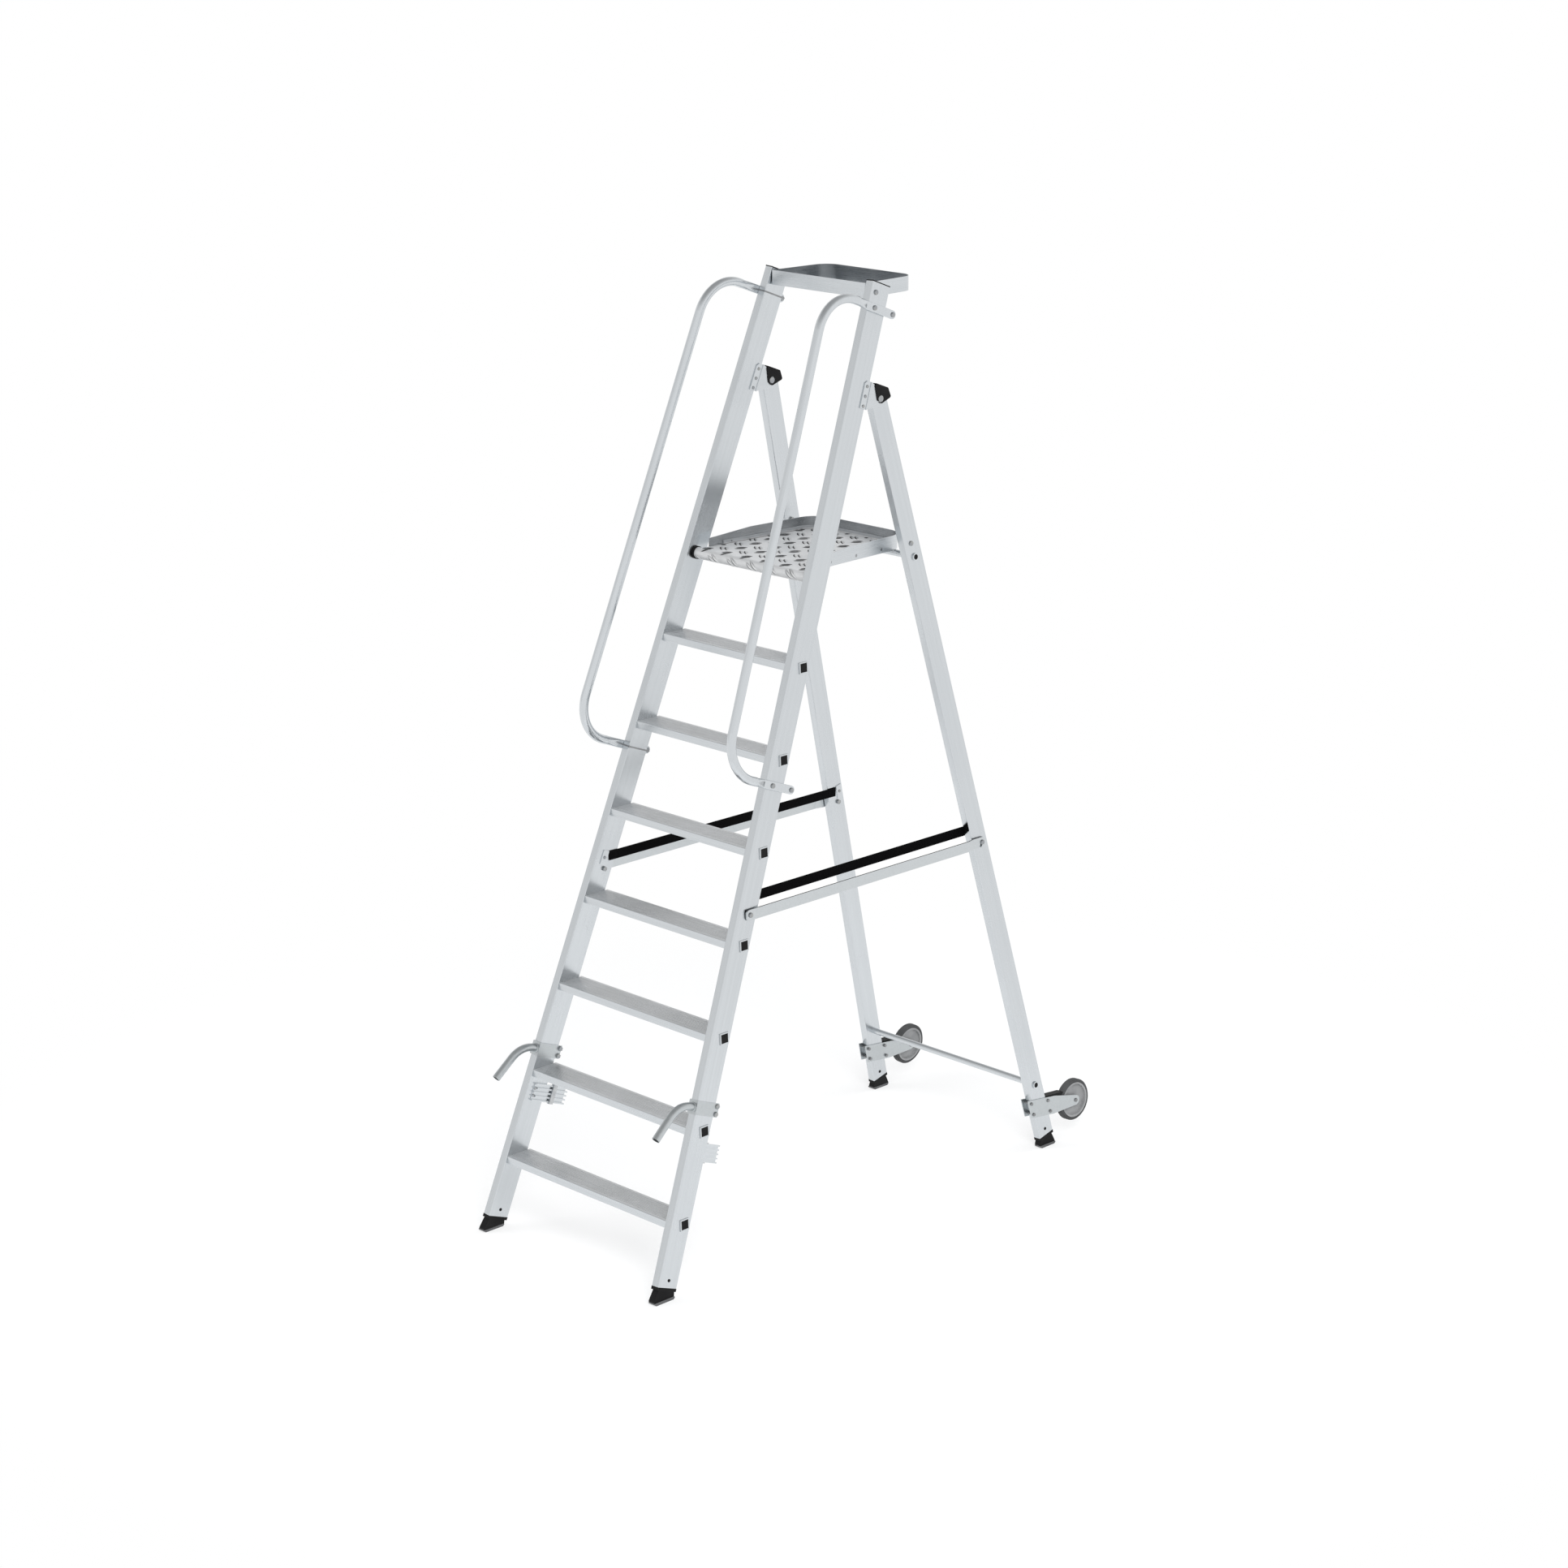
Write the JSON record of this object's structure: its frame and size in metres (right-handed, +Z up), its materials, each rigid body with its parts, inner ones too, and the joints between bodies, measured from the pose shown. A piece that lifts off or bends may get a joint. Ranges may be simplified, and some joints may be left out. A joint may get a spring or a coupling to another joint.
{
  "type": "rolling step ladder",
  "caption": "Folding aluminium platform ladder with ribbed steps, hand rails, tool tray, toe board, lift handles and rear wheels for moving it like a barrow.",
  "frame": {"origin": "on the floor under the middle of the bounding box", "axes": "+X to the climber's right, +Y rearward from the steps to the wheels, +Z up"},
  "size_m": [0.719, 1.7648, 2.5985],
  "materials": {
    "aluminium": "satin",
    "chequer_plate": "bright raised pattern",
    "galvanised_steel": "galvanised",
    "zinc_fasteners": "zinc plated",
    "spring_steel": "dark",
    "black_plastic": "moulded",
    "grey_sole": "matt",
    "grey_tyre": "matt",
    "grey_hub": "moulded",
    "black_webbing": "woven"
  },
  "bodies": {
    "front_frame": {"stile_left": "aluminium", "stile_right": "aluminium", "step_1": "aluminium", "step_2": "aluminium", "step_3": "aluminium", "step_4": "aluminium", "step_5": "aluminium", "step_6": "aluminium", "step_7": "aluminium", "step_plugs": "black_plastic", "stile_caps": "black_plastic", "tool_tray": "aluminium", "frame_bolts": "zinc_fasteners", "handrail_left": "aluminium", "handrail_right": "aluminium", "handrail_clips": "aluminium", "hinge_plates": "aluminium", "hinge_pins": "zinc_fasteners", "hinge_covers": "black_plastic", "front_rivets": "zinc_fasteners", "lift_handle_left": "galvanised_steel", "lift_handle_right": "galvanised_steel", "handle_brackets": "galvanised_steel", "catches": "aluminium", "catch_springs": "spring_steel", "front_shoes": "black_plastic", "front_soles": "grey_sole", "front_shoe_screws": "black_plastic", "brace_bolts": "zinc_fasteners", "strap_plates_front": "aluminium", "platform_pins": "zinc_fasteners", "strap_left": "black_webbing", "strap_right": "black_webbing"},
    "rear_frame": {"rear_leg_left": "aluminium", "rear_leg_right": "aluminium", "lower_crossbar": "aluminium", "upper_crossbar": "aluminium", "crossbar_plugs": "black_plastic", "stop_bolts": "zinc_fasteners", "wheel_bracket_left": "galvanised_steel", "wheel_bracket_right": "galvanised_steel", "wheel_spacers": "black_plastic", "wheel_bolts": "zinc_fasteners", "axles": "zinc_fasteners", "rear_shoes": "black_plastic", "rear_soles": "grey_sole", "rear_shoe_screws": "black_plastic", "brace_pins": "zinc_fasteners", "strap_plates_rear": "aluminium", "rear_rivets": "zinc_fasteners"},
    "platform": {"platform_plate": "chequer_plate", "toe_board": "aluminium", "platform_rivets": "zinc_fasteners", "platform_bushes": "black_plastic"},
    "brace_left": {"brace_left": "galvanised_steel"},
    "brace_right": {"brace_right": "galvanised_steel"},
    "wheel_left": {"wheel_hub_left": "grey_hub", "tyre_left": "grey_tyre"},
    "wheel_right": {"wheel_hub_right": "grey_hub", "tyre_right": "grey_tyre"}
  },
  "joints": [
    {"name": "fold", "type": "hinge", "parent": "front_frame", "child": "rear_frame", "pos_m": [0, 0.10115, 2.2808], "axis": [-1, 0, 0], "range_deg": [0, 34], "deforming": ["strap_left", "strap_right"]},
    {"name": "platform_lift", "type": "hinge", "parent": "front_frame", "child": "platform", "pos_m": [0, -0.15993, 1.831], "axis": [1, 0, 0], "range_deg": [0, 68.5]},
    {"name": "brace_left_swing", "type": "hinge", "parent": "front_frame", "child": "brace_left", "pos_m": [0, -0.47154, 0.97813], "axis": [1, 0, 0], "range_deg": [0, 68.5]},
    {"name": "brace_right_swing", "type": "hinge", "parent": "front_frame", "child": "brace_right", "pos_m": [0, -0.47154, 0.97813], "axis": [1, 0, 0], "range_deg": [0, 68.5]},
    {"name": "wheel_left_spin", "type": "hinge", "parent": "rear_frame", "child": "wheel_left", "pos_m": [-0.33489, 0.82035, 0.10916], "axis": [0.9985, 0.0142, -0.0538], "continuous": true},
    {"name": "wheel_right_spin", "type": "hinge", "parent": "rear_frame", "child": "wheel_right", "pos_m": [0.33489, 0.82035, 0.10916], "axis": [0.9985, -0.0142, 0.0538], "continuous": true}
  ],
  "couplings": [
    {"joint": "platform_lift", "follows": "fold", "ratio": 2},
    {"joint": "brace_left_swing", "follows": "fold", "ratio": 2},
    {"joint": "brace_right_swing", "follows": "fold", "ratio": 2}
  ]
}
